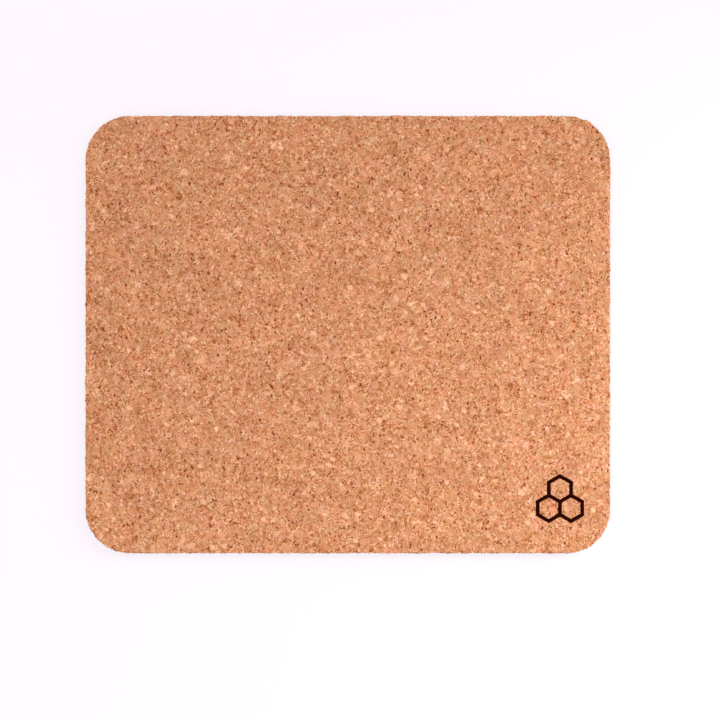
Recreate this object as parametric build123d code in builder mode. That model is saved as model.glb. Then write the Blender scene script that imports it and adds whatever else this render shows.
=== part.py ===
# Desk mat for a computer mouse: a rectangular laminate with rounded corners,
# punched through in one stroke so that every layer shares the same outline.
#
# From the bottom up it is a natural-rubber base that grips the desk, a laminating
# adhesive film, and a sheet of agglomerated cork that the mouse runs on.
# A small printed mark is soaked into the cork near the front right corner.
#
# Frame: millimetres, +Z up, origin at the centre of the underside. +X runs along
# the long side to the user's right, and +Y points away from the user.

from build123d import *
import os
from math import sqrt

# ---- Driving dimensions ----
mat_length = 240.0           # along X
mat_depth = 200.0            # along Y
corner_radius = 20.0

base_thickness = 1.5         # natural rubber
adhesive_thickness = 0.15    # laminating film
cork_thickness = 2.5         # fine-grained agglomerated cork

cork_rim_radius = 0.4        # top rim, pressed round by the cutting die
base_rim_chamfer = 0.25      # bottom rim, eased so that it doesn't peel

mark_from_right_edge = 23.0  # centre of the printed mark
mark_from_front_edge = 25.0
mark_cell_pitch = 10.2       # distance between the centres of two cells
mark_line_width = 1.75
ink_depth = 0.12             # how far the ink soaks into the cork

# ---- Derived levels and places ----
adhesive_bottom = base_thickness
cork_bottom = adhesive_bottom + adhesive_thickness
mat_top = cork_bottom + cork_thickness
ink_bottom = mat_top - ink_depth

mark_x = mat_length / 2 - mark_from_right_edge
mark_y = -mat_depth / 2 + mark_from_front_edge

# The mark is three open hexagonal cells that share their walls: two in front and
# one behind. A cell with its point towards +Y is as wide as the cell pitch.
cell_corner_radius = mark_cell_pitch / sqrt(3)
row_spacing = 1.5 * cell_corner_radius
cell_centres = [
    (-mark_cell_pitch / 2, -row_spacing / 2),
    (mark_cell_pitch / 2, -row_spacing / 2),
    (0.0, row_spacing / 2),
]
# A line is centred on its cell's wall, so it adds half its width on each side.
line_at_corner = mark_line_width / sqrt(3)


def mat_outline():
    """The outline that the cutting die gives to every layer."""
    RectangleRounded(mat_length, mat_depth, corner_radius)


# ---- Anti-slip base: a solid rubber sheet, chamfered along its bottom rim ----
with BuildPart() as antislip_base:
    with BuildSketch(Plane.XY):
        mat_outline()
    extrude(amount=base_thickness)
    base_underside = antislip_base.faces().sort_by(Axis.Z)[0]
    chamfer(base_underside.edges(), length=base_rim_chamfer)

# ---- Adhesive film: bonds the cork to the rubber over the whole outline ----
with BuildPart() as adhesive_film:
    with BuildSketch(Plane.XY.offset(adhesive_bottom)):
        mat_outline()
    extrude(amount=adhesive_thickness)

# ---- Printed mark: ink, level with the cork's top face ----
with BuildPart() as printed_mark:
    with BuildSketch(Plane.XY.offset(ink_bottom)):
        with Locations((mark_x, mark_y)):
            with Locations(*cell_centres):
                RegularPolygon(cell_corner_radius + line_at_corner, 6, rotation=30)
            with Locations(*cell_centres):
                RegularPolygon(
                    cell_corner_radius - line_at_corner,
                    6,
                    rotation=30,
                    mode=Mode.SUBTRACT,
                )
    extrude(amount=ink_depth)

# ---- Cork sheet: rounded top rim, and a shallow seat where the ink soaks in ----
with BuildPart() as cork_sheet:
    with BuildSketch(Plane.XY.offset(cork_bottom)):
        mat_outline()
    extrude(amount=cork_thickness)
    cork_top_face = cork_sheet.faces().sort_by(Axis.Z)[-1]
    fillet(cork_top_face.edges(), radius=cork_rim_radius)
    add(printed_mark.part, mode=Mode.SUBTRACT)

# ---- Write one STEP file for each piece ----
pieces = {
    "antislip_base": antislip_base,
    "adhesive_film": adhesive_film,
    "cork_sheet": cork_sheet,
    "printed_mark": printed_mark,
}

os.makedirs("parts", exist_ok=True)
for name, piece in pieces.items():
    piece.part.label = name
    export_step(piece.part, f"parts/{name}.step")
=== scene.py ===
"""A cork desk mat: visible meshes, materials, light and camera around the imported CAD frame.

Everything is in metres in the frame's own axes: +Z up, +X along the mat's long side, origin at the
centre of the underside. Small measures are written in millimetres times MM. The node fields work
in millimetres, and so do the names that end in _mm or _MM.
"""

import math
from typing import NamedTuple

import bmesh
import bpy
import numpy as np
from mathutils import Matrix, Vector, noise
from mathutils.bvhtree import BVHTree


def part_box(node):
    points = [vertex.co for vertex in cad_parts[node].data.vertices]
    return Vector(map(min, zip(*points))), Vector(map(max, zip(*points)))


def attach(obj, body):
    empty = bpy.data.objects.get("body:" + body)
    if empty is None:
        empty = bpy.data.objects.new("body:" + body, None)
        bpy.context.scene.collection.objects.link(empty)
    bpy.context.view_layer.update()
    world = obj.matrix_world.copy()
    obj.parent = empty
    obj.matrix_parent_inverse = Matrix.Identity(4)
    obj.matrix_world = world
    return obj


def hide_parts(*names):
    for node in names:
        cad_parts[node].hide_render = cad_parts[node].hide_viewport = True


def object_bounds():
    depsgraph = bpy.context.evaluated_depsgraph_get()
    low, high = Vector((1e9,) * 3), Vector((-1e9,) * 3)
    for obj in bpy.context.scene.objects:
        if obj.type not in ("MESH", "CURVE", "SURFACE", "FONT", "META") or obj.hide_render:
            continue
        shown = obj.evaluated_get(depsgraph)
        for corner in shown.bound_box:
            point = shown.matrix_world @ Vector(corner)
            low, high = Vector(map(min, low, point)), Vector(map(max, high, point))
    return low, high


MM = 0.001
UP = Vector((0.0, 0.0, 1.0))

# ---- Mesh detail ----
FACE_PITCH = 0.85 * MM          # spacing of the points on the mat's wide faces
RIM_RADIUS = 0.4 * MM           # the cork's worn top rim
RIM_STEPS = 3
CORK_WALL_STEPS = 8
BASE_CHAMFER = 0.25 * MM
BASE_WALL_STEPS = 4
# The wide face's grid stops short of the edge, and finer rings follow from there.
GRID_INSET = 1.5 * MM
FINE_RING_INSETS = (1.05 * MM, 0.7 * MM, 0.45 * MM)
SAME_LEVEL = 0.01 * MM          # points closer than this in height are on one level
ON_EDGE = 0.001 * MM            # points closer than this to the back edge's line are on it

# ---- Granular relief of the cork ----
FACE_RELIEF_MM = 0.06           # of the sanded face, for one unit of granule height
EDGE_RELIEF_MM = 0.70           # of the cut edge, for one unit of granule height
RAGGED_EDGE_MM = 1.35           # of the die's cut, which tears whole granules out
TEAR_SIZE_MM = 3.2
TEAR_FLATTENING = 0.3           # tears run down the wall, so they vary less from top to bottom
# The upward part of the normal, over which the wall's relief gives way to the face's, and over
# which the relief sets in above the flat underside.
FACE_NORMALS = (0.3, 0.98)
UNDER_NORMALS = (-0.2, -0.05)

# ---- Embossing and cut edge of the rubber ----
WAFFLE_PITCH = 4.5 * MM
WAFFLE_DEPTH = 0.35 * MM
WAFFLE_MARGIN = 2.0 * MM        # the embossing fades out over this width along the edge
RUBBER_WAVE_SIZE = 2.5 * MM
RUBBER_WAVE_DEPTH = 0.05 * MM

# ---- Printed mark ----
MARK_LINE = 1.75 * MM
MARK_STEPS_ACROSS = 6
MARK_STEPS_ALONG = 22
MARK_ROUGHNESS = 0.10 * MM      # how far the ink creeps along the granules
MARK_ROUGHNESS_SIZE = 0.7 * MM
INK_ABOVE_CORK = 0.035 * MM
INK_DEPTH = 0.12 * MM
WELD_DISTANCE = 0.02 * MM       # points of the mark closer than this are one point

# ---- Crumbs that stand out of the cut edge ----
CRUMB_COUNT = 260
CRUMB_RADII = (0.2 * MM, 0.5 * MM)
CRUMB_SINKING = (-0.1, 0.7)     # how deep the centre lies behind the edge, in radii
CRUMB_SQUASH = (0.6, 1.3)
CRUMB_LUMPINESS = 0.5
CRUMB_LUMP_SIZE = 0.35 * MM
CRUMB_SEED = 11
NOISE_SPREAD = 50.0             # each crumb's lumps come from another part of the noise

# ---- Framing: shares of the picture's width ----
MAT_SHARE = 0.7287              # the mat's long side
MAT_LEFT_OF_CENTRE = 0.0168
MAT_ABOVE_CENTRE = 0.0353
LENS_MM = 85.0
SENSOR_MM = 36.0

# ---- Light: a softbox low on the right, turned to the front, and an even fill ----
SOFTBOX_PLACE = Vector((0.75, 0.19, 0.305))
SOFTBOX_AIM = Vector((0.9, -3.0, 0.0))
SOFTBOX_SIZE = 0.5
SOFTBOX_WATTS = 16.0
FILL_COLOUR = (1.0, 0.99, 1.0, 1.0)
FILL_STRENGTH = 0.95

# ---- Floor ----
FLOOR_HALF = 4.0
FLOOR_COLOUR = (0.25, 0.24, 0.25, 1.0)
FLOOR_ROUGHNESS = 0.9
FLOOR_GLOW = (1.0, 0.945, 1.0, 1.0)
FLOOR_GLOW_STRENGTH = 0.75


# =====================================================================================
# Node helpers. They serve shader trees and geometry trees alike, so that the relief of the
# mesh and the pattern of the material come from one description.
# =====================================================================================

def set_input(tree, socket, value):
    """Links a socket or sets a plain value."""
    if isinstance(value, bpy.types.NodeSocket):
        tree.links.new(value, socket)
    else:
        socket.default_value = value


def math_node(tree, operation, *values):
    """A Math node; each value is a number or a socket."""
    node = tree.nodes.new("ShaderNodeMath")
    node.operation = operation
    for socket, value in zip(node.inputs, values):
        set_input(tree, socket, value)
    return node.outputs[0]


def vector_node(tree, operation, *values, scale=None):
    """A Vector Math node; each value is a triple or a socket."""
    node = tree.nodes.new("ShaderNodeVectorMath")
    node.operation = operation
    for socket, value in zip(node.inputs, values):
        set_input(tree, socket, value)
    if scale is not None:
        set_input(tree, node.inputs["Scale"], scale)
    return node.outputs[0]


def ramp_between(tree, value, low, high, out_low=0.0, out_high=1.0):
    """A smooth step from out_low to out_high as value goes from low to high."""
    node = tree.nodes.new("ShaderNodeMapRange")
    node.interpolation_type = "SMOOTHSTEP"
    set_input(tree, node.inputs["Value"], value)
    set_input(tree, node.inputs["From Min"], low)
    set_input(tree, node.inputs["From Max"], high)
    set_input(tree, node.inputs["To Min"], out_low)
    set_input(tree, node.inputs["To Max"], out_high)
    return node.outputs["Result"]


def mix_values(tree, share, low, high):
    """low where share is 0 and high where it is 1."""
    span = math_node(tree, "SUBTRACT", high, low)
    return math_node(tree, "MULTIPLY_ADD", span, share, low)


def noise_at(tree, place, size_mm, detail=2.0, roughness=0.5):
    """A Noise node whose features are about size_mm across; place is in millimetres."""
    node = tree.nodes.new("ShaderNodeTexNoise")
    node.inputs["Scale"].default_value = 1.0 / size_mm
    node.inputs["Detail"].default_value = detail
    node.inputs["Roughness"].default_value = roughness
    tree.links.new(place, node.inputs["Vector"])
    return node


def centred_noise(tree, place, size_mm, detail=2.0, roughness=0.5):
    """Noise that is 0 at the mean."""
    value = noise_at(tree, place, size_mm, detail, roughness).outputs[0]
    return math_node(tree, "SUBTRACT", value, 0.5)


def cells_at(tree, place, size_mm, feature="F1"):
    """A Voronoi node whose cells are about size_mm across; place is in millimetres."""
    node = tree.nodes.new("ShaderNodeTexVoronoi")
    node.feature = feature
    node.inputs["Scale"].default_value = 1.0 / size_mm
    tree.links.new(place, node.inputs["Vector"])
    return node


def parts_of(tree, vector):
    """The three components of a vector or colour socket."""
    node = tree.nodes.new("ShaderNodeSeparateXYZ")
    tree.links.new(vector, node.inputs[0])
    return node.outputs[0], node.outputs[1], node.outputs[2]


# =====================================================================================
# The agglomerate: granules of three sizes, pale chips, dark bark specks and seams
# =====================================================================================

BIG_GRAIN, MID_GRAIN, FINE_GRAIN = 2.4, 1.15, 0.58     # mm across
BIG_SHARE, MID_SHARE = 0.07, 0.50                      # how many cells stay whole
# Even a whole granule keeps a trace of the finer pattern: how strongly it covers that.
BIG_COVER, MID_COVER = 0.65, 0.72
# The swirls that turn the cells' outlines ragged: their size and their reach in millimetres.
JAGS_MM = ((2.2, 1.2), (0.5, 0.5))
SEAM_WIDTH = 0.09                                      # in cells
PORE_SIZE_MM = 0.42


class Spots(NamedTuple):
    """Small sparse spots of one kind. Lengths are in millimetres."""

    spacing: float      # of the cells that may hold a spot
    share: float        # of the cells that do hold one
    radius: float       # of the largest spot
    softness: float     # of a spot's edge
    slimness: float     # how many times longer than wide
    turn: float         # degrees


PALE_CHIPS = Spots(spacing=4.6, share=0.22, radius=1.5, softness=0.3, slimness=1.4, turn=30)
BARK_SPECKS = (
    Spots(spacing=2.1, share=0.078, radius=0.70, softness=0.20, slimness=1.3, turn=20),
    Spots(spacing=2.4, share=0.086, radius=0.84, softness=0.20, slimness=1.7, turn=100),
    Spots(spacing=9.0, share=0.18, radius=1.5, softness=0.20, slimness=3.2, turn=55),
)
SMALLEST_SPOT = 0.4     # of the largest one's radius

# How far each field lifts the surface, in units of granule height.
TONE_LIFT = 0.7
LIFTS = {"micro": 0.9, "seam": -0.25, "specks": -0.5, "chip": 0.2}


def jagged_place(tree, place):
    """Place, in millimetres, shifted by noise so that the cells' outlines turn ragged."""
    shifted = place
    for size_mm, reach_mm in JAGS_MM:
        swirl = noise_at(tree, place, size_mm, detail=1.0)
        centred = vector_node(tree, "SUBTRACT", swirl.outputs["Color"], (0.5, 0.5, 0.5))
        reach = vector_node(tree, "SCALE", centred, scale=reach_mm)
        shifted = vector_node(tree, "ADD", shifted, reach)
    return shifted


def spot_mask(tree, place, spot):
    """Small sparse spots of one kind: 1 inside a spot."""
    turn = tree.nodes.new("ShaderNodeVectorRotate")
    turn.rotation_type = "Z_AXIS"
    turn.inputs["Angle"].default_value = math.radians(spot.turn)
    tree.links.new(place, turn.inputs["Vector"])
    squeezed = vector_node(tree, "MULTIPLY", turn.outputs[0], (1.0, spot.slimness, 1.0))
    cells = cells_at(tree, squeezed, spot.spacing)
    chosen, size_pick, _ = parts_of(tree, cells.outputs["Color"])
    picked = math_node(tree, "GREATER_THAN", chosen, 1.0 - spot.share)
    radius = mix_values(tree, size_pick, spot.radius * SMALLEST_SPOT, spot.radius)
    # The Distance output is in cells, not in millimetres.
    distance = math_node(tree, "MULTIPLY", cells.outputs["Distance"], spot.spacing)
    nearness = math_node(tree, "SUBTRACT", radius, distance)
    inside = ramp_between(tree, nearness, -spot.softness, spot.softness)
    return math_node(tree, "MULTIPLY", inside, picked)


def grain_fields(tree, jagged):
    """The tone, the hue and the seams of the granules, each from 0 to 1."""
    big, mid, fine = (cells_at(tree, jagged, size) for size in (BIG_GRAIN, MID_GRAIN, FINE_GRAIN))
    big_pick, big_tone, big_hue = parts_of(tree, big.outputs["Color"])
    mid_pick, mid_tone, mid_hue = parts_of(tree, mid.outputs["Color"])
    _, fine_tone, _ = parts_of(tree, fine.outputs["Color"])
    is_big = math_node(tree, "GREATER_THAN", big_pick, 1.0 - BIG_SHARE)
    is_mid = math_node(tree, "GREATER_THAN", mid_pick, 1.0 - MID_SHARE)

    mid_cover = math_node(tree, "MULTIPLY", is_mid, MID_COVER)
    tone = mix_values(tree, mid_cover, fine_tone, mid_tone)
    big_cover = math_node(tree, "MULTIPLY", is_big, BIG_COVER)
    tone = mix_values(tree, big_cover, tone, big_tone)
    hue = mix_values(tree, is_big, mid_hue, big_hue)

    edge = cells_at(tree, jagged, MID_GRAIN, feature="DISTANCE_TO_EDGE")
    seam = ramp_between(tree, edge.outputs["Distance"], 0.0, SEAM_WIDTH, 1.0, 0.0)
    seam = math_node(tree, "MULTIPLY", seam, math_node(tree, "SUBTRACT", 1.0, is_big))
    return {"tone": tone, "hue": hue, "seam": seam}


def granule_fields(tree, place):
    """What the granules are like at a place in millimetres. All values run from 0 to 1, but for
    micro and height, which are 0 at the mean."""
    jagged = jagged_place(tree, place)
    fields = grain_fields(tree, jagged)
    fields["chip"] = spot_mask(tree, jagged, PALE_CHIPS)
    specks = spot_mask(tree, jagged, BARK_SPECKS[0])
    for spot in BARK_SPECKS[1:]:
        specks = math_node(tree, "MAXIMUM", specks, spot_mask(tree, jagged, spot))
    fields["specks"] = specks
    fields["micro"] = centred_noise(tree, place, PORE_SIZE_MM, roughness=0.6)

    height = math_node(tree, "SUBTRACT", fields["tone"], 0.5)
    height = math_node(tree, "MULTIPLY", height, TONE_LIFT)
    for field, lift in LIFTS.items():
        height = math_node(tree, "MULTIPLY_ADD", fields[field], lift, height)
    fields["height"] = height
    return fields


# =====================================================================================
# Materials
# =====================================================================================

def new_material(name):
    """An empty node material with its Principled shader and its output."""
    material = bpy.data.materials.new(name)
    material.use_nodes = True
    tree = material.node_tree
    tree.nodes.clear()
    shader = tree.nodes.new("ShaderNodeBsdfPrincipled")
    output = tree.nodes.new("ShaderNodeOutputMaterial")
    tree.links.new(shader.outputs["BSDF"], output.inputs["Surface"])
    return material, tree, shader


def place_in_mm(tree):
    """The point's place in the frame, in millimetres."""
    coordinates = tree.nodes.new("ShaderNodeTexCoord")
    return vector_node(tree, "SCALE", coordinates.outputs["Object"], scale=1.0 / MM)


def mix_colours(tree, share, low, high, blend="MIX"):
    """A Mix node for colours; share, low and high are values or sockets."""
    node = tree.nodes.new("ShaderNodeMix")
    node.data_type = "RGBA"
    node.blend_type = blend
    # A Mix node lists its float and vector sockets too: 0 is the share, 6 and 7 are the colours.
    set_input(tree, node.inputs[0], share)
    set_input(tree, node.inputs[6], low)
    set_input(tree, node.inputs[7], high)
    return node.outputs[2]


def tinted(tree, colour, share, tints):
    """The colour times a tint: the first one where share is 0, the second one where it is 1."""
    tint = mix_colours(tree, share, *tints)
    return mix_colours(tree, 1.0, colour, tint, "MULTIPLY")


def painted(tree, colour, mask, strength, paint):
    """The colour, covered with paint where the mask is 1."""
    share = math_node(tree, "MULTIPLY", mask, strength)
    return mix_colours(tree, share, colour, paint)


def srgb(red, green, blue):
    """A display colour, 0 to 255 a channel, as the linear colour that a socket takes."""
    channels = []
    for value in (red, green, blue):
        share = min(max(value, 0.0), 255.0) / 255.0
        linear = share / 12.92 if share <= 0.04045 else ((share + 0.055) / 1.055) ** 2.4
        channels.append(linear)
    return (*channels, 1.0)


def colour_ramp(tree, value, stops):
    """A Color Ramp node with (position, colour) stops."""
    node = tree.nodes.new("ShaderNodeValToRGB")
    elements = node.color_ramp.elements
    elements.remove(elements[-1])
    elements[0].position, elements[0].color = stops[0]
    for position, colour in stops[1:]:
        element = elements.new(position)
        element.color = colour
    tree.links.new(value, node.inputs["Fac"])
    return node.outputs["Color"]


def add_bump(tree, shader, height, relief_mm):
    """Feeds the shader a normal from a height; one unit of height is relief_mm high."""
    bump = tree.nodes.new("ShaderNodeBump")
    bump.inputs["Distance"].default_value = MM
    tree.links.new(math_node(tree, "MULTIPLY", height, relief_mm), bump.inputs["Height"])
    tree.links.new(bump.outputs["Normal"], shader.inputs["Normal"])


CORK_COLOUR = (207.8, 143.0, 102.2)        # the sheet's mean, as a display colour
# A lighter granule is also a paler one: the steps are about equal in all three channels.
TONE_STEP = (0.98, 1.13, 1.21)
# (place in the range of tones, display steps lighter than the mean colour)
TONE_STOPS = ((0.0, -70), (0.12, -31), (0.30, -10), (0.5, 1), (0.7, 10), (0.88, 22), (1.0, 48))
PLANK_SIZE_MM = 3.6
PLANK_DEPTH = 0.5
PORE_CONTRAST = 0.9
# Pairs of tints. Single granules lean to orange or to a greyish pink, and whole patches lean
# to a warm or a cool, and to an olive or a rosy brown.
HUE_TINTS = ((1.025, 0.99, 0.965, 1.0), (0.975, 1.01, 1.035, 1.0))
WARMTH_TINTS = ((1.03, 0.987, 0.94, 1.0), (0.97, 1.013, 1.06, 1.0))
ROSE_TINTS = ((0.98, 1.036, 0.985, 1.0), (1.02, 0.964, 1.015, 1.0))
LEAN_RANGE = (0.32, 0.68)
CHIP_STEP, CHIP_STRENGTH = 48, 0.72
# The seams' darkening is partly the dark binder between granules and partly painted shade in the
# recessed joins.
SEAM_BINDER_AND_SHADE_STEP, SEAM_BINDER_AND_SHADE_STRENGTH = -60, 0.35
BARK_COLOUR, BARK_STRENGTH = (116, 44, 4), 0.92
BLOTCH_SIZE_MM = 14.0
BLOTCH_CONTRAST = 0.05
CORK_ROUGHNESS = (0.92, 0.80)              # of a dark and of a pale granule
CORK_SPECULAR = 0.06
INK_SPECULAR = 0.02


def granule_colour(step):
    """The cork's colour, lighter or darker by a display step."""
    return srgb(*(mean + step * share for mean, share in zip(CORK_COLOUR, TONE_STEP)))


def cork_colour(tree, place, fields):
    """The colour of the granules, with their seams (dark binder and painted shade), chips and
    specks.
    """
    # Neighbouring granules often come from the same plank, so whole patches lean one way.
    planks = noise_at(tree, place, PLANK_SIZE_MM).outputs["Color"]
    warmth, rose, depth = parts_of(tree, planks)
    depth = math_node(tree, "MULTIPLY_ADD", depth, PLANK_DEPTH, -PLANK_DEPTH / 2)
    tone = math_node(tree, "ADD", fields["tone"], depth)
    tone = math_node(tree, "MULTIPLY_ADD", fields["micro"], PORE_CONTRAST, tone)
    stops = [(position, granule_colour(step)) for position, step in TONE_STOPS]
    colour = colour_ramp(tree, tone, stops)

    colour = tinted(tree, colour, fields["hue"], HUE_TINTS)
    for lean, tints in ((warmth, WARMTH_TINTS), (rose, ROSE_TINTS)):
        colour = tinted(tree, colour, ramp_between(tree, lean, *LEAN_RANGE), tints)
    colour = painted(tree, colour, fields["chip"], CHIP_STRENGTH, granule_colour(CHIP_STEP))
    # Along the seams: dark binder, and painted shade in the recessed joins between granules.
    colour = painted(tree, colour, fields["seam"], SEAM_BINDER_AND_SHADE_STRENGTH, granule_colour(SEAM_BINDER_AND_SHADE_STEP))
    return painted(tree, colour, fields["specks"], BARK_STRENGTH, srgb(*BARK_COLOUR))


def cork_material():
    """Fine-grained agglomerated cork, sanded and unsealed."""
    material, tree, shader = new_material("cork_agglomerate")
    place = place_in_mm(tree)
    fields = granule_fields(tree, place)
    colour = cork_colour(tree, place, fields)
    # The pressed sheet is a little uneven in tone from one centimetre or two to the next.
    blotches = noise_at(tree, place, BLOTCH_SIZE_MM, detail=3.0, roughness=0.6).outputs[0]
    dark, light = 1.0 - BLOTCH_CONTRAST, 1.0 + BLOTCH_CONTRAST
    blotches = ramp_between(tree, blotches, 0.3, 0.7, out_low=dark, out_high=light)
    colour = mix_colours(tree, 1.0, colour, blotches, "MULTIPLY")
    tree.links.new(colour, shader.inputs["Base Color"])

    roughness = mix_values(tree, fields["tone"], *CORK_ROUGHNESS)
    tree.links.new(roughness, shader.inputs["Roughness"])
    shader.inputs["Specular IOR Level"].default_value = CORK_SPECULAR
    add_bump(tree, shader, fields["height"], FACE_RELIEF_MM)
    return material


def rubber_material():
    """Matt black natural rubber with a faint bloom and a fine calendered grain."""
    material, tree, shader = new_material("natural_rubber")
    place = place_in_mm(tree)
    bloom = noise_at(tree, place, size_mm=9.0, detail=4.0, roughness=0.6).outputs[0]
    dust = noise_at(tree, place, size_mm=0.5).outputs[0]
    grain = noise_at(tree, place, size_mm=0.28).outputs[0]
    shades = [(0.30, srgb(33, 33, 34)), (0.55, srgb(42, 42, 43)), (0.80, srgb(58, 57, 56))]
    colour = colour_ramp(tree, bloom, shades)
    fleck = ramp_between(tree, dust, 0.62, 0.80, out_high=0.35)
    colour = mix_colours(tree, fleck, colour, srgb(92, 88, 84))
    tree.links.new(colour, shader.inputs["Base Color"])
    roughness = ramp_between(tree, bloom, 0.3, 0.8, out_low=0.62, out_high=0.80)
    tree.links.new(roughness, shader.inputs["Roughness"])
    add_bump(tree, shader, grain, relief_mm=0.05)
    return material


def adhesive_material():
    """Dried laminating film, seen only as a thin line along the cut edge."""
    material, tree, shader = new_material("laminating_adhesive")
    place = place_in_mm(tree)
    streaks = noise_at(tree, place, size_mm=1.4, detail=3.0).outputs[0]
    shades = [(0.30, srgb(150, 118, 84)), (0.60, srgb(186, 156, 118)), (0.85, srgb(206, 182, 148))]
    tree.links.new(colour_ramp(tree, streaks, shades), shader.inputs["Base Color"])
    roughness = ramp_between(tree, streaks, 0.3, 0.8, out_low=0.35, out_high=0.6)
    tree.links.new(roughness, shader.inputs["Roughness"])
    add_bump(tree, shader, streaks, relief_mm=0.04)
    return material


def ink_material():
    """Matt black screen ink, a little brown where it is thin over the granules."""
    material, tree, shader = new_material("screen_ink")
    place = place_in_mm(tree)
    cover = noise_at(tree, place, size_mm=0.8, detail=3.0, roughness=0.6).outputs[0]
    shades = [(0.30, srgb(28, 2, 0)), (0.62, srgb(42, 4, 0)), (0.85, srgb(70, 26, 12))]
    tree.links.new(colour_ramp(tree, cover, shades), shader.inputs["Base Color"])
    roughness = ramp_between(tree, cover, 0.3, 0.8, out_low=0.65, out_high=0.85)
    tree.links.new(roughness, shader.inputs["Roughness"])
    shader.inputs["Specular IOR Level"].default_value = INK_SPECULAR
    add_bump(tree, shader, cover, relief_mm=0.06)
    return material


# =====================================================================================
# Meshes
# =====================================================================================

class Outline:
    """The rounded rectangle that every layer of the mat shares, read from the adhesive film."""

    def __init__(self, film):
        _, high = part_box("adhesive_film")
        self.half_x = high.x
        self.half_y = high.y
        # The straight back edge ends where the corner's arc begins.
        points = [vertex.co for vertex in film.data.vertices]
        back_edge = [point.x for point in points if self.half_y - point.y < ON_EDGE]
        self.radius = self.half_x - max(back_edge)

    def core(self, points):
        """The nearest points of the inner rectangle that holds the corners' centres."""
        core_x = self.half_x - self.radius
        core_y = self.half_y - self.radius
        return np.clip(points, (-core_x, -core_y), (core_x, core_y))

    def outward(self, points):
        """The unit directions out of the mat at points near its edge."""
        away = points - self.core(points)
        return away / np.linalg.norm(away, axis=1)[:, None]

    def ring(self, points, inset):
        """The points moved along the outward direction onto the outline drawn in by inset."""
        return self.core(points) + self.outward(points) * (self.radius - inset)

    def grid(self, inset, pitch):
        """A structured grid over the outline drawn in by inset, as an array (rows, columns, 2).
        Each corner zone is a square patch bent onto a quarter disc."""
        half_x, half_y, radius = self.half_x - inset, self.half_y - inset, self.radius - inset
        columns = round(2 * half_x / pitch) + 1
        rows = round(2 * half_y / pitch) + 1
        x, y = np.meshgrid(
            np.linspace(-half_x, half_x, columns),
            np.linspace(-half_y, half_y, rows),
        )
        u = np.clip((np.abs(x) - (half_x - radius)) / radius, 0.0, 1.0)
        v = np.clip((np.abs(y) - (half_y - radius)) / radius, 0.0, 1.0)
        bent_x = half_x - radius + radius * u * np.sqrt(1.0 - v * v / 2.0)
        bent_y = half_y - radius + radius * v * np.sqrt(1.0 - u * u / 2.0)
        in_corner = (u > 0.0) & (v > 0.0)
        x = np.where(in_corner, np.sign(x) * bent_x, x)
        y = np.where(in_corner, np.sign(y) * bent_y, y)
        return np.stack([x, y], axis=2)


def grid_faces(rows, columns):
    """The quads of a grid."""
    faces = []
    for row in range(rows - 1):
        for column in range(columns - 1):
            corner = row * columns + column
            faces.append((corner, corner + 1, corner + columns + 1, corner + columns))
    return faces


def border_indices(rows, columns):
    """The grid's border points in anticlockwise order, as flat indices."""
    front = list(range(columns - 1))
    right = [row * columns + columns - 1 for row in range(rows - 1)]
    back = [(rows - 1) * columns + column for column in range(columns - 1, 0, -1)]
    left = [row * columns for row in range(rows - 1, 0, -1)]
    return front + right + back + left


def doubling_faces(border, start, size):
    """The faces from the grid's border to a ring with twice as many points."""
    faces = []
    for i, point in enumerate(border):
        following = border[(i + 1) % len(border)]
        outer = [start + (2 * i + step) % size for step in range(3)]
        faces.append((point, *outer, following))
    return faces


def ring_faces(start, size, count):
    """The quads between each of the rings and the next one out, and the flat cap in the last."""
    faces = []
    for level in range(count - 1):
        inner = start + level * size
        outer = inner + size
        for i in range(size):
            j = (i + 1) % size
            faces.append((inner + i, outer + i, outer + j, inner + j))
    last = start + (count - 1) * size
    faces.append(tuple(range(last + size - 1, last - 1, -1)))
    return faces


def slab_mesh(name, outline, rings, face_up):
    """A closed slab: a gridded wide face, then rings of (inset, z) around it, and a flat cap.
    Every ring has twice the grid border's points. The gridded face looks up or down."""
    face_z = rings[0][1]
    grid = outline.grid(GRID_INSET, FACE_PITCH)
    rows, columns = grid.shape[:2]
    flat = grid.reshape(-1, 2)
    border = border_indices(rows, columns)
    border_points = flat[border]
    between = (border_points + np.roll(border_points, -1, axis=0)) / 2
    fine_border = np.stack([border_points, between], axis=1).reshape(-1, 2)

    start, size = len(flat), len(fine_border)
    faces = grid_faces(rows, columns)
    faces += doubling_faces(border, start, size)
    faces += ring_faces(start, size, len(rings))
    if not face_up:
        faces = [tuple(reversed(face)) for face in faces]
    layers = [np.column_stack([flat, np.full(start, face_z)])]
    for inset, z in rings:
        layers.append(np.column_stack([outline.ring(fine_border, inset), np.full(size, z)]))

    mesh = bpy.data.meshes.new(name)
    mesh.from_pydata(np.concatenate(layers).tolist(), [], faces)
    mesh.shade_smooth()
    return mesh


def add_piece(name, mesh, material):
    """A new visible piece that rides on the mat's one body."""
    piece = bpy.data.objects.new(name, mesh)
    bpy.context.scene.collection.objects.link(piece)
    mesh.materials.clear()
    mesh.materials.append(material)
    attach(piece, "root")
    return piece


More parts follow.
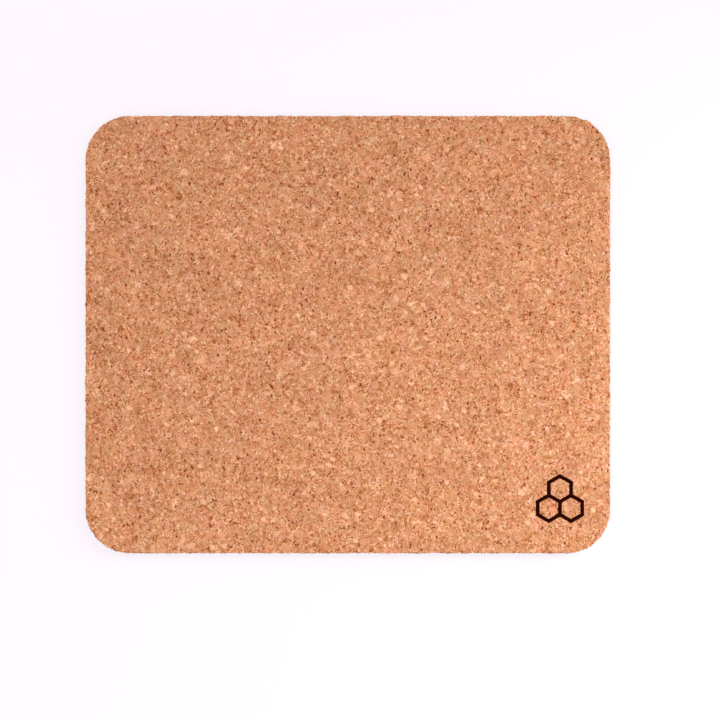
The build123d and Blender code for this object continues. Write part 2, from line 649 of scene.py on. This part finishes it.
def relief_distance(tree, position, normal):
    """How far the granules push a point out along its normal, in metres."""
    fields = granule_fields(tree, vector_node(tree, "SCALE", position, scale=1.0 / MM))
    # The sanded face is smoother than the cut edge, and the glued underside stays flat.
    _, _, facing = parts_of(tree, normal)
    on_face = ramp_between(tree, facing, *FACE_NORMALS)
    not_under = ramp_between(tree, facing, *UNDER_NORMALS)
    amount = mix_values(tree, on_face, EDGE_RELIEF_MM * MM, FACE_RELIEF_MM * MM)
    amount = math_node(tree, "MULTIPLY", amount, not_under)
    distance = math_node(tree, "MULTIPLY", fields["height"], amount)

    # Torn granules leave notches and bumps that run down most of the wall.
    stretch = (1.0 / MM, 1.0 / MM, TEAR_FLATTENING / MM)
    upright = vector_node(tree, "MULTIPLY", position, stretch)
    tears = centred_noise(tree, upright, TEAR_SIZE_MM, detail=3.0, roughness=0.62)
    amount = math_node(tree, "SUBTRACT", 1.0, on_face)
    amount = math_node(tree, "MULTIPLY", amount, not_under)
    amount = math_node(tree, "MULTIPLY", amount, RAGGED_EDGE_MM * MM)
    return math_node(tree, "MULTIPLY_ADD", tears, amount, distance)


def relief_tree():
    """Geometry nodes that move each point along its normal by the granules' height."""
    tree = bpy.data.node_groups.new("granular_relief", "GeometryNodeTree")
    for in_out in ("INPUT", "OUTPUT"):
        tree.interface.new_socket("Geometry", in_out=in_out, socket_type="NodeSocketGeometry")
    start = tree.nodes.new("NodeGroupInput")
    end = tree.nodes.new("NodeGroupOutput")
    position = tree.nodes.new("GeometryNodeInputPosition").outputs[0]
    normal = tree.nodes.new("GeometryNodeInputNormal").outputs[0]
    distance = relief_distance(tree, position, normal)
    move = tree.nodes.new("GeometryNodeSetPosition")
    tree.links.new(start.outputs[0], move.inputs["Geometry"])
    offset = vector_node(tree, "SCALE", normal, scale=distance)
    tree.links.new(offset, move.inputs["Offset"])
    tree.links.new(move.outputs["Geometry"], end.inputs[0])
    return tree


def apply_modifiers(piece):
    """Keeps the piece's evaluated mesh as its own."""
    graph = bpy.context.evaluated_depsgraph_get()
    mesh = bpy.data.meshes.new_from_object(piece.evaluated_get(graph), depsgraph=graph)
    piece.modifiers.clear()
    piece.data = mesh


def build_cork_sheet(outline, material):
    """The cork layer: granular face, worn rim and crumbly cut edge."""
    low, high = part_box("cork_sheet")
    rings = [(inset, high.z) for inset in FINE_RING_INSETS]
    for step in range(RIM_STEPS + 1):
        angle = math.pi / 2 * step / RIM_STEPS
        inset = RIM_RADIUS * (1.0 - math.sin(angle))
        rings.append((inset, high.z - RIM_RADIUS * (1.0 - math.cos(angle))))
    wall_top = high.z - RIM_RADIUS
    for step in range(1, CORK_WALL_STEPS + 1):
        rings.append((0.0, wall_top + (low.z - wall_top) * step / CORK_WALL_STEPS))
    mesh = slab_mesh("cork_face", outline, rings, face_up=True)
    piece = add_piece("cork_face", mesh, material)
    modifier = piece.modifiers.new("relief", "NODES")
    modifier.node_group = relief_tree()
    apply_modifiers(piece)
    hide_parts("cork_sheet")
    return piece


def waffle(x, y):
    """The embossed recess over the rubber's underside: 0 on the bumps' tops."""
    wave_x = math.cos(2.0 * math.pi * x / WAFFLE_PITCH)
    wave_y = math.cos(2.0 * math.pi * y / WAFFLE_PITCH)
    return WAFFLE_DEPTH * (0.5 - 0.5 * wave_x * wave_y)


def emboss_underside(place, outline):
    """Raises a point of the underside by the embossing, which fades out towards the edge."""
    flat = np.array([[place.x, place.y]])
    edge_room = outline.radius - np.linalg.norm(flat - outline.core(flat))
    fade = min(max(edge_room / WAFFLE_MARGIN, 0.0), 1.0)
    place.z += waffle(place.x, place.y) * fade


def wave_cut_edge(place):
    """Draws a point of the rubber's wall in a little, as the cut leaves it."""
    wave = noise.noise(place / RUBBER_WAVE_SIZE) * RUBBER_WAVE_DEPTH
    away = Vector((place.x, place.y, 0.0)).normalized()
    place -= away * abs(wave)


def build_rubber_base(outline, material):
    """The rubber layer: embossed underside, chamfered lower rim, slightly wavy cut edge."""
    low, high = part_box("antislip_base")
    rings = [(inset, low.z) for inset in FINE_RING_INSETS]
    rings.append((BASE_CHAMFER, low.z))
    chamfer_top = low.z + BASE_CHAMFER
    for step in range(BASE_WALL_STEPS + 1):
        rings.append((0.0, chamfer_top + (high.z - chamfer_top) * step / BASE_WALL_STEPS))
    mesh = slab_mesh("rubber_underlay", outline, rings, face_up=False)
    for vertex in mesh.vertices:
        if vertex.co.z - low.z < SAME_LEVEL:
            emboss_underside(vertex.co, outline)
        elif high.z - vertex.co.z > SAME_LEVEL:
            wave_cut_edge(vertex.co)
    piece = add_piece("rubber_underlay", mesh, material)
    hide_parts("antislip_base")


def honeycomb_lines(pitch):
    """The corners and edges of three touching hexagons around the origin, two in the front row
    and one behind: a list of corner places and a list of corner pairs."""
    radius = pitch / math.sqrt(3)
    row = 1.5 * radius
    corners = []
    edges = set()
    for centre in ((-pitch / 2, -row / 2), (pitch / 2, -row / 2), (0.0, row / 2)):
        ring = []
        for step in range(6):
            angle = math.radians(30 + 60 * step)
            corner = Vector(centre) + Vector((math.cos(angle), math.sin(angle))) * radius
            near = [i for i, known in enumerate(corners) if (known - corner).length < WELD_DISTANCE]
            if not near:
                corners.append(corner)
                near = [len(corners) - 1]
            ring.append(near[0])
        for first, second in zip(ring, ring[1:] + ring[:1]):
            edges.add((min(first, second), max(first, second)))
    return corners, sorted(edges)


def mitre_side(corners, edges, corner, toward, side):
    """Where the line's left (side 1) or right (side -1) border meets the next line's border, at
    a corner of the honeycomb and looking towards its neighbour."""
    here = corners[corner]
    along = (corners[toward] - here).normalized()
    reach = MARK_LINE / math.sqrt(3)
    others = [a + b - corner for a, b in edges if corner in (a, b) and toward not in (a, b)]
    if len(others) == 1:
        bend = (corners[others[0]] - here).normalized()
        outside = along.cross(bend) * side <= 0
        if outside:
            return here - (along + bend).normalized() * reach
    # All lines meet at 120 degrees, so the mitre is 60 degrees off the line on either side.
    cos, sin = math.cos(math.radians(60.0)), side * math.sin(math.radians(60.0))
    turned = Vector((along.x * cos - along.y * sin, along.x * sin + along.y * cos))
    return here + turned * reach


def add_line_patch(sheet, ends, centre, z):
    """A flat gridded patch for one line of the mark, between its two ends' (left, middle,
    right) points."""
    rows = []
    for step in range(MARK_STEPS_ALONG + 1):
        along = step / MARK_STEPS_ALONG
        left, middle, right = (a.lerp(b, along) for a, b in zip(*ends))
        row = []
        for across in range(MARK_STEPS_ACROSS + 1):
            share = 2.0 * across / MARK_STEPS_ACROSS
            if share <= 1.0:
                point = left.lerp(middle, share)
            else:
                point = middle.lerp(right, share - 1.0)
            row.append(sheet.verts.new((centre.x + point.x, centre.y + point.y, z)))
        rows.append(row)
    for near, far in zip(rows, rows[1:]):
        for i in range(MARK_STEPS_ACROSS):
            sheet.faces.new((near[i], near[i + 1], far[i + 1], far[i]))


def drape_ink(sheet, cork_face):
    """Roughens the mark's border and lays its points just above the cork's granules."""
    surface = BVHTree.FromPolygons(
        [vertex.co for vertex in cork_face.data.vertices],
        [tuple(polygon.vertices) for polygon in cork_face.data.polygons],
    )
    # Another part of the same noise serves the second axis.
    shift = Vector((9.0, 4.0, 0.0))
    for vertex in sheet.verts:
        if vertex.is_boundary:
            vertex.co.x += noise.noise(vertex.co / MARK_ROUGHNESS_SIZE) * MARK_ROUGHNESS
            vertex.co.y += noise.noise(vertex.co / MARK_ROUGHNESS_SIZE + shift) * MARK_ROUGHNESS
        hit = surface.ray_cast(vertex.co + UP * MM, -UP)
        vertex.co.z = hit[0].z + INK_ABOVE_CORK


def thicken_downwards(sheet, depth):
    """Makes a closed skin of the sheet, whose lower side lies depth below."""
    for face in sheet.faces:
        if face.normal.z < 0:
            face.normal_flip()
    skin = bmesh.ops.extrude_face_region(sheet, geom=sheet.faces[:])
    for item in skin["geom"]:
        if isinstance(item, bmesh.types.BMVert):
            item.co.z -= depth
    bmesh.ops.recalc_face_normals(sheet, faces=sheet.faces)


def mesh_from(work, name):
    """A smooth-shaded mesh from a finished bmesh."""
    mesh = bpy.data.meshes.new(name)
    work.to_mesh(mesh)
    work.free()
    mesh.shade_smooth()
    return mesh


def build_printed_mark(cork_face, material):
    """A generic honeycomb mark printed on the granular face: a thin skin of ink that follows it."""
    low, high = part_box("printed_mark")
    centre = (low + high) / 2
    pitch = (high.x - low.x - MARK_LINE) / 2
    corners, edges = honeycomb_lines(pitch)
    sheet = bmesh.new()
    for first, second in edges:
        ends = []
        for corner, toward, sides in ((first, second, (1, -1)), (second, first, (-1, 1))):
            left, right = (mitre_side(corners, edges, corner, toward, side) for side in sides)
            ends.append((left, corners[corner], right))
        add_line_patch(sheet, ends, centre, high.z)
    bmesh.ops.remove_doubles(sheet, verts=sheet.verts, dist=WELD_DISTANCE)
    bmesh.ops.recalc_face_normals(sheet, faces=sheet.faces)
    drape_ink(sheet, cork_face)
    thicken_downwards(sheet, INK_DEPTH)
    piece = add_piece("mark_ink", mesh_from(sheet, "mark_ink"), material)
    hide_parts("printed_mark")


def random_side_point(rng, outline):
    """A point on the rectangle around the mat, whose corners are still sharp."""
    angle = rng.uniform(0.0, 2.0 * math.pi)
    straight_x = 2 * (outline.half_x - outline.radius)
    straight_y = 2 * (outline.half_y - outline.radius)
    if rng.uniform(0.0, straight_x + straight_y) < straight_x:
        x = rng.uniform(-outline.half_x, outline.half_x)
        return x, math.copysign(outline.half_y, math.sin(angle))
    y = rng.uniform(-outline.half_y, outline.half_y)
    return math.copysign(outline.half_x, math.cos(angle)), y


def build_edge_crumbs(outline, material):
    """Cork crumbs that the cutting left standing out of the edge."""
    rng = np.random.default_rng(CRUMB_SEED)
    low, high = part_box("cork_sheet")
    crumbs = bmesh.new()
    for _ in range(CRUMB_COUNT):
        start = random_side_point(rng, outline)
        radius = rng.uniform(*CRUMB_RADII)
        x, y = outline.ring(np.array([start]), radius * rng.uniform(*CRUMB_SINKING))[0]
        z = rng.uniform(low.z + radius, high.z - RIM_RADIUS)
        squash = Vector(rng.uniform(*CRUMB_SQUASH, size=3))
        shift = Vector(rng.uniform(-NOISE_SPREAD, NOISE_SPREAD, size=3))
        blob = bmesh.ops.create_icosphere(crumbs, subdivisions=2, radius=radius)
        for vertex in blob["verts"]:
            lumps = noise.noise(vertex.co / CRUMB_LUMP_SIZE + shift)
            vertex.co = vertex.co * squash * (1.0 + CRUMB_LUMPINESS * lumps)
            vertex.co += Vector((x, y, z))
    add_piece("edge_crumbs", mesh_from(crumbs, "edge_crumbs"), material)


# =====================================================================================
# Stage
# =====================================================================================

def build_floor():
    """A plain pale floor, bright enough to be near white, that isn't part of the object."""
    corners = [(-1, -1), (1, -1), (1, 1), (-1, 1)]
    mesh = bpy.data.meshes.new("floor")
    mesh.from_pydata([(x * FLOOR_HALF, y * FLOOR_HALF, 0.0) for x, y in corners], [], [(0, 1, 2, 3)])
    floor = bpy.data.objects.new("floor", mesh)
    bpy.context.scene.collection.objects.link(floor)
    material, _, shader = new_material("pale_floor")
    shader.inputs["Base Color"].default_value = FLOOR_COLOUR
    shader.inputs["Roughness"].default_value = FLOOR_ROUGHNESS
    shader.inputs["Specular IOR Level"].default_value = 0.0
    # The floor glows like a light table, which keeps the mat's shadow faint.
    shader.inputs["Emission Color"].default_value = FLOOR_GLOW
    shader.inputs["Emission Strength"].default_value = FLOOR_GLOW_STRENGTH
    mesh.materials.append(material)


def build_light():
    """The softbox and the even fill."""
    data = bpy.data.lights.new("softbox", "AREA")
    data.shape = "SQUARE"
    data.size = SOFTBOX_SIZE
    data.energy = SOFTBOX_WATTS
    lamp = bpy.data.objects.new("softbox", data)
    bpy.context.scene.collection.objects.link(lamp)
    lamp.location = SOFTBOX_PLACE
    lamp.rotation_mode = "QUATERNION"
    lamp.rotation_quaternion = (SOFTBOX_AIM - SOFTBOX_PLACE).to_track_quat("-Z", "Y")

    world = bpy.data.worlds.new("studio")
    world.use_nodes = True
    background = world.node_tree.nodes["Background"]
    background.inputs["Color"].default_value = FILL_COLOUR
    background.inputs["Strength"].default_value = FILL_STRENGTH
    bpy.context.scene.world = world


def build_camera(mat_low, mat_high):
    """Straight down on the mat, with the mat a little left of and above the middle."""
    data = bpy.data.cameras.new("camera")
    data.lens = LENS_MM
    data.sensor_width = SENSOR_MM
    camera = bpy.data.objects.new("camera", data)
    bpy.context.scene.collection.objects.link(camera)
    view_width = (mat_high.x - mat_low.x) / MAT_SHARE
    camera.location = (
        MAT_LEFT_OF_CENTRE * view_width,
        -MAT_ABOVE_CENTRE * view_width,
        mat_high.z + view_width * LENS_MM / SENSOR_MM,
    )
    bpy.context.scene.camera = camera


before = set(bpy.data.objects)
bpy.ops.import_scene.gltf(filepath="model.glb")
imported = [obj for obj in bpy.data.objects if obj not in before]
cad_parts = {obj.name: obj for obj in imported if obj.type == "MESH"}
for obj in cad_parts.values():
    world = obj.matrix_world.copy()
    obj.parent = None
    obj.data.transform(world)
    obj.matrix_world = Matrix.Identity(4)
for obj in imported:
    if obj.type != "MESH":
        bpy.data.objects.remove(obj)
cad_low, cad_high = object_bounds()

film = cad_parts["adhesive_film"]
outline = Outline(film)
cork = cork_material()
cork_face = build_cork_sheet(outline, cork)
build_edge_crumbs(outline, cork)
build_rubber_base(outline, rubber_material())
build_printed_mark(cork_face, ink_material())
film.data.materials.clear()
film.data.materials.append(adhesive_material())

build_floor()
build_light()
build_camera(cad_low, cad_high)
bpy.context.scene.view_settings.view_transform = "Standard"
